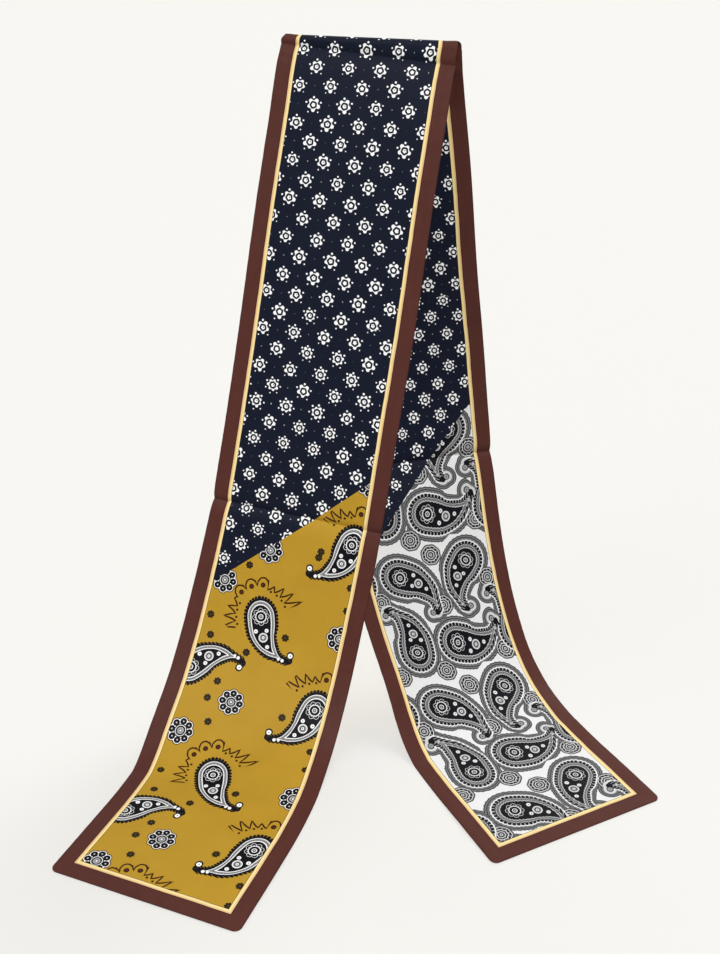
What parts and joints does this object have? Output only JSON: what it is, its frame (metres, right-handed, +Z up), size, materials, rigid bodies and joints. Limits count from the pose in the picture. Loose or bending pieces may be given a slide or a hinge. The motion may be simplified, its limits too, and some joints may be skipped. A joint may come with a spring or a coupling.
{
  "type": "skinny silk scarf",
  "caption": "Long narrow printed silk scarf of plain bordered cloth, hung over a slim rail at its middle with both tails trailing forward onto the floor.",
  "frame": {"origin": "underside of the fold, midway across the scarf, where the rail bears", "axes": "+X along the fold, -Y the way that both tails trail forward, +Z up; the surface that the tails' ends lie on is 515 mm below the origin"},
  "size_m": [0.4045, 0.4473, 0.5173],
  "materials": {
    "face_silk": "printed silk twill, soft sheen",
    "reverse_silk": "printed silk twill, soft sheen"
  },
  "bodies": {
    "root": {"face_front_tail": "face_silk", "face_over_rail": "face_silk", "face_back_tail": "face_silk", "reverse_front_tail": "reverse_silk", "reverse_over_rail": "reverse_silk", "reverse_back_tail": "reverse_silk"}
  },
  "joints": []
}
